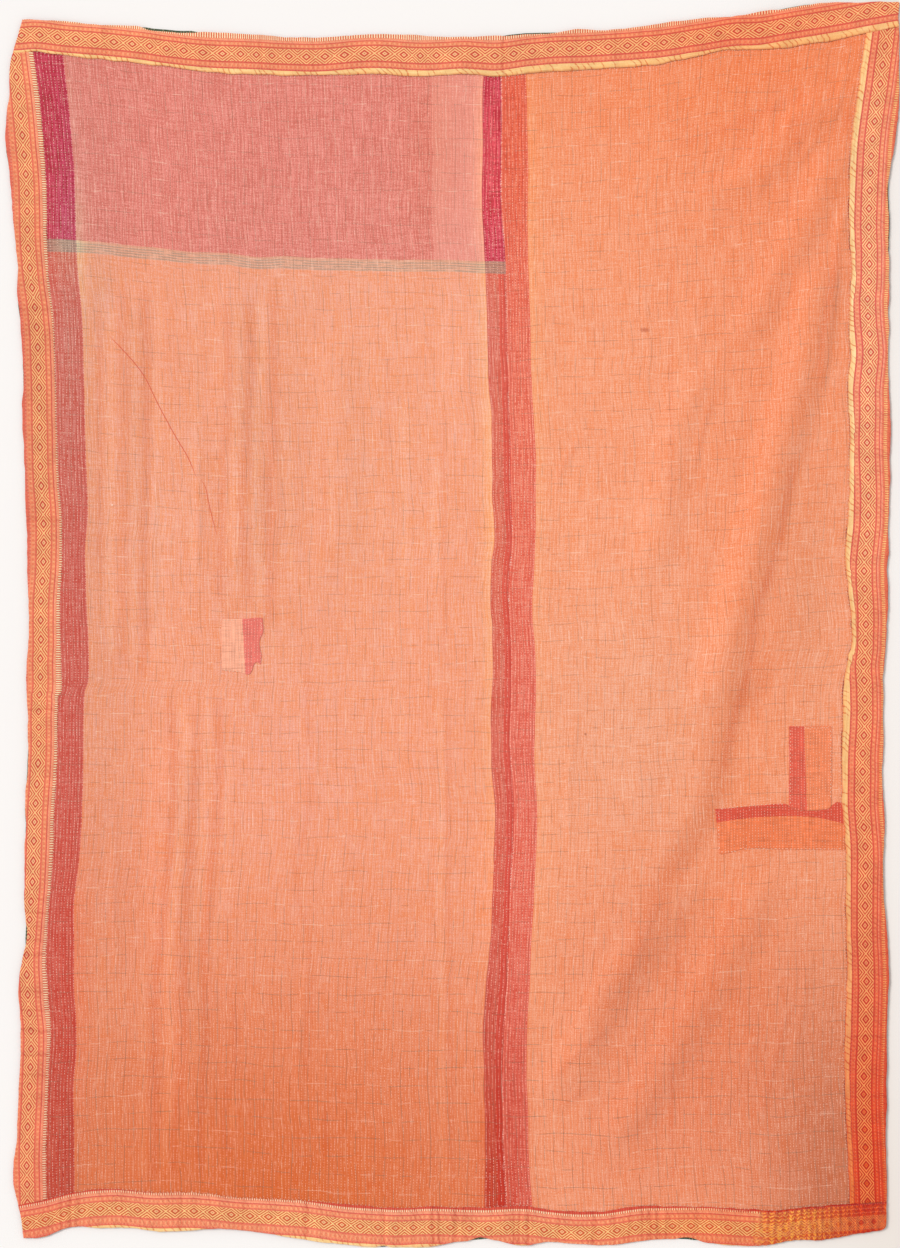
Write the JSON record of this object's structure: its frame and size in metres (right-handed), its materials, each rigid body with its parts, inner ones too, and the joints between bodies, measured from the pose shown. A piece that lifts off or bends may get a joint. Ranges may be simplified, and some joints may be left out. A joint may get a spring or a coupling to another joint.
{
  "type": "kantha quilt",
  "caption": "Vintage cotton kantha quilt laid flat: sari-cloth panels with red stripes, woven diamond borders, mending patches, rows of running stitch and a dark green backing.",
  "frame": {"origin": "under the middle of the quilt, on the surface that it lies on", "axes": "+X across the quilt to the right, seen with the pink end at the top left; +Y up the quilt, towards the pink end; +Z out of the quilt's face"},
  "size_m": [1.6552, 2.3022, 0.0157],
  "materials": {
    "backing_cloth": "plain-woven cotton, dark green, matt and worn soft",
    "panel_cloth": "old cotton sari cloth, peach and orange fine check with red selvedge stripes and a pink end, close rows of pale running stitch",
    "border_cloth": "woven sari border, orange with red lines, small yellow diamonds and a pale gold band",
    "patch_cloth": "mending patches of the same sari cloth, orange with a red stripe"
  },
  "bodies": {
    "root": {"backing": "backing_cloth", "left_panel": "panel_cloth", "right_panel": "panel_cloth", "border_top": "border_cloth", "border_bottom": "border_cloth", "border_left": "border_cloth", "border_right": "border_cloth", "patch_left": "patch_cloth", "patch_right_upper": "patch_cloth", "patch_right_lower": "patch_cloth"}
  },
  "joints": []
}
